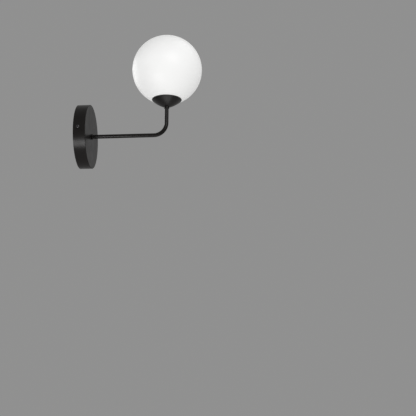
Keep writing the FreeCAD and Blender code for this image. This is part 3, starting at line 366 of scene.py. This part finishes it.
def make_globe():
    """The blown shell, with the fire-polished edge that the hole of such a globe has."""
    outer = GLOBE_RADIUS
    inner = GLOBE_RADIUS - GLASS_WALL
    low = globe_low.z - GLOBE_CENTRE.z
    hole = math.sqrt(outer**2 - low**2)
    edge_radius = hole + GLASS_EDGE_ROUND
    outer_middle = (edge_radius, -math.sqrt((outer - GLASS_EDGE_ROUND) ** 2 - edge_radius**2))
    inner_middle = (edge_radius, -math.sqrt((inner + GLASS_EDGE_ROUND) ** 2 - edge_radius**2))
    outer_end = math.atan2(outer_middle[1], outer_middle[0])
    inner_end = math.atan2(inner_middle[1], inner_middle[0])
    profile = [
        *arc((0, 0), outer, math.pi / 2, outer_end, GLOBE_ARC_STEPS),
        *arc(outer_middle, GLASS_EDGE_ROUND, outer_end, -math.pi, ROUND_STEPS)[1:],
        *arc(inner_middle, GLASS_EDGE_ROUND, math.pi, inner_end + math.pi, ROUND_STEPS),
        *arc((0, 0), inner, inner_end, math.pi / 2, GLOBE_ARC_STEPS)[1:],
    ]
    glass = turned("globe_glass", profile, GLOBE_CENTRE, GLOBE_STEPS)
    dress(glass, "opal_glass", "globe", "opal_globe")


def cross_tool():
    """The tapering tool that leaves a cross recess in a screw's head, at the head's own height."""
    arm = CROSS_LENGTH / 2
    half = CROSS_WIDTH / 2
    quarter = [(arm, half), (half, half), (half, arm)]
    corners = []
    for turn in range(4):
        spin = Matrix.Rotation(turn * math.pi / 2, 2)
        corners += [spin @ Vector(corner) for corner in quarter]
    shape = bmesh.new()
    rings = []
    for scale, rise in ((1 / CROSS_TAPER, CROSS_DEPTH), (CROSS_TAPER, -CROSS_DEPTH)):
        height = SCREW_HEAD_HEIGHT + rise
        rings.append([shape.verts.new((*(corner * scale), height)) for corner in corners])
    shape.faces.new(rings[0])
    shape.faces.new(rings[1])
    for here in range(len(corners)):
        there = (here + 1) % len(corners)
        shape.faces.new((rings[0][here], rings[0][there], rings[1][there], rings[1][here]))
    bmesh.ops.recalc_face_normals(shape, faces=shape.faces)
    return place_mesh("cross_tool", shape, (0, 0, 0))


def subtract(piece, tool):
    """Cuts the tool out of the piece, then deletes the tool."""
    modifier = piece.modifiers.new("cut", "BOOLEAN")
    modifier.operation = "DIFFERENCE"
    modifier.solver = "EXACT"
    modifier.object = tool
    depsgraph = bpy.context.evaluated_depsgraph_get()
    piece.data = bpy.data.meshes.new_from_object(piece.evaluated_get(depsgraph))
    piece.modifiers.clear()
    bpy.data.objects.remove(tool)


def cut_thread(piece):
    """Sinks a helical groove into a screw's shank, which fades out towards its head."""
    for vertex in piece.data.vertices:
        across = math.hypot(vertex.co.x, vertex.co.y)
        if abs(across - RIM_SCREW_RADIUS) > WELD or vertex.co.z > -WELD:
            continue
        turn = math.atan2(vertex.co.y, vertex.co.x) / math.tau
        phase = (vertex.co.z / THREAD_PITCH - turn) % 1
        fade = min(1, -vertex.co.z / THREAD_PITCH)
        shrink = 1 - THREAD_DEPTH * fade * (1 - abs(2 * phase - 1)) / RIM_SCREW_RADIUS
        vertex.co.x *= shrink
        vertex.co.y *= shrink


def make_canopy_screw(name, body):
    """The screw that it stands for, with the thread and the tapering recess of a real one."""
    low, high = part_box(name)
    side = math.copysign(1, high.x)
    head_radius = (high.z - low.z) / 2
    seat = max(abs(low.x), abs(high.x)) - SCREW_HEAD_HEIGHT
    length = seat - min(abs(low.x), abs(high.x))
    rows = round(ROWS_PER_PITCH * length / THREAD_PITCH)
    dome_centre = (head_radius - SCREW_HEAD_ROUND, SCREW_HEAD_HEIGHT - SCREW_HEAD_ROUND)
    profile = [
        (0, -length),
        *[(RIM_SCREW_RADIUS, -length * (1 - row / rows)) for row in range(rows + 1)],
        (head_radius, 0),
        *arc(dome_centre, SCREW_HEAD_ROUND, 0, math.pi / 2, ROUND_STEPS),
        (0, SCREW_HEAD_HEIGHT),
    ]
    piece = turned(f"{name}_threaded", profile, (0, 0, 0), SCREW_STEPS)
    cut_thread(piece)
    subtract(piece, cross_tool())
    mark_sharp(piece)
    piece.location = (side * seat, (low.y + high.y) / 2, (low.z + high.z) / 2)
    piece.rotation_euler = (0, side * math.pi / 2, 0)
    dress(piece, "black_screw", body, name)


# ---- stage, lamps and camera -----------------------------------------------------------------


def floor_paint():
    """Pale matt paint that takes the lamp's shadow, and fades into the backdrop far out."""
    shader = Shader("floor_paint")
    shader.set(Roughness=0.9, Specular_IOR_Level=0.1)
    shader.set(Base_Color=(0.7, 0.7, 0.695, 1))
    far = shader.add("ShaderNodeVectorMath", operation="LENGTH")
    shader.join(shader.place, far.inputs[0])
    fade = shader.ramp(far.outputs["Value"], HAZE_START, HAZE_END, 0.0, 1.0)
    haze = shader.add("ShaderNodeEmission")
    haze.inputs["Color"].default_value = (*BACKDROP, 1)
    mix = shader.add("ShaderNodeMixShader")
    shader.join(fade, mix.inputs[0])
    shader.join(shader.surface.outputs[0], mix.inputs[1])
    shader.join(haze.outputs[0], mix.inputs[2])
    shader.join(mix.outputs[0], shader.tree.nodes["Material Output"].inputs["Surface"])
    return shader.material


def add_floor():
    mesh = bpy.data.meshes.new("floor")
    shape = bmesh.new()
    bmesh.ops.create_circle(shape, cap_ends=True, radius=FLOOR_RADIUS, segments=FLOOR_SIDES)
    shape.to_mesh(mesh)
    shape.free()
    floor = bpy.data.objects.new("floor", mesh)
    floor.location.z = FLOOR_HEIGHT
    mesh.materials.append(floor_paint())
    bpy.context.scene.collection.objects.link(floor)


def add_world():
    """A grey room: its own colour to the camera and in reflections, a soft fill elsewhere."""
    world = bpy.data.worlds.new("room")
    bpy.context.scene.world = world
    world.use_nodes = True
    tree = world.node_tree
    backdrop = tree.nodes["Background"]
    backdrop.inputs["Color"].default_value = (*BACKDROP, 1)
    backdrop.inputs["Strength"].default_value = 1.0
    fill = tree.nodes.new("ShaderNodeBackground")
    fill.inputs["Color"].default_value = (1, 1, 1, 1)
    fill.inputs["Strength"].default_value = FILL_LIGHT
    path = tree.nodes.new("ShaderNodeLightPath")
    seen = path.outputs["Is Camera Ray"]
    for kind in ("Is Glossy Ray", "Is Transmission Ray"):
        either = tree.nodes.new("ShaderNodeMath")
        either.operation = "MAXIMUM"
        tree.links.new(seen, either.inputs[0])
        tree.links.new(path.outputs[kind], either.inputs[1])
        seen = either.outputs[0]
    mix = tree.nodes.new("ShaderNodeMixShader")
    tree.links.new(seen, mix.inputs[0])
    tree.links.new(fill.outputs[0], mix.inputs[1])
    tree.links.new(backdrop.outputs[0], mix.inputs[2])
    tree.links.new(mix.outputs[0], tree.nodes["World Output"].inputs["Surface"])


def add_lamp(name, toward, distance, size, level):
    """A square soft lamp facing the object. White under it alone looks as pale as its level."""
    data = bpy.data.lights.new(name, "AREA")
    data.shape = "SQUARE"
    data.size = size
    data.energy = level * (math.pi * distance) ** 2
    lamp = bpy.data.objects.new(name, data)
    way = Vector(toward).normalized()
    lamp.location = LIT_CENTRE + way * distance
    lamp.rotation_euler = (-way).to_track_quat("-Z", "Y").to_euler()
    lamp.visible_camera = False
    bpy.context.scene.collection.objects.link(lamp)


def add_camera():
    """Looks along the photograph's yaw and pitch, with the globe's centre on its pixel there."""
    data = bpy.data.cameras.new("camera")
    data.lens = LENS
    data.sensor_width = SENSOR_WIDTH
    data.clip_end = FAR_CLIP
    yaw, pitch, roll = (math.radians(angle) for angle in (CAMERA_YAW, CAMERA_PITCH, CAMERA_ROLL))
    level = math.cos(pitch)
    ahead = Vector((math.sin(yaw) * level, math.cos(yaw) * level, math.sin(pitch)))
    right = ahead.cross(Vector((0, 0, 1))).normalized()
    up = right.cross(ahead)
    right, up = (
        right * math.cos(roll) + up * math.sin(roll),
        up * math.cos(roll) - right * math.sin(roll),
    )
    focal = LENS / SENSOR_WIDTH * FRAME_PIXELS
    half = FRAME_PIXELS / 2
    to_globe = (
        ahead
        + right * (GLOBE_PIXEL[0] - half) / focal
        - up * (GLOBE_PIXEL[1] - half) / focal
    )
    place = GLOBE_CENTRE - to_globe.normalized() * GLOBE_DISTANCE
    camera = bpy.data.objects.new("camera", data)
    turn = Matrix((right, up, -ahead)).transposed().to_4x4()
    camera.matrix_world = Matrix.Translation(place) @ turn
    bpy.context.scene.collection.objects.link(camera)
    bpy.context.scene.camera = camera


dress_frame()
make_globe()
make_canopy_screw("canopy_screw_left", "screw_left")
make_canopy_screw("canopy_screw_right", "screw_right")
add_floor()
add_world()
for lamp in LAMPS:
    add_lamp(*lamp)
add_camera()

bpy.context.scene.view_settings.view_transform = "Standard"
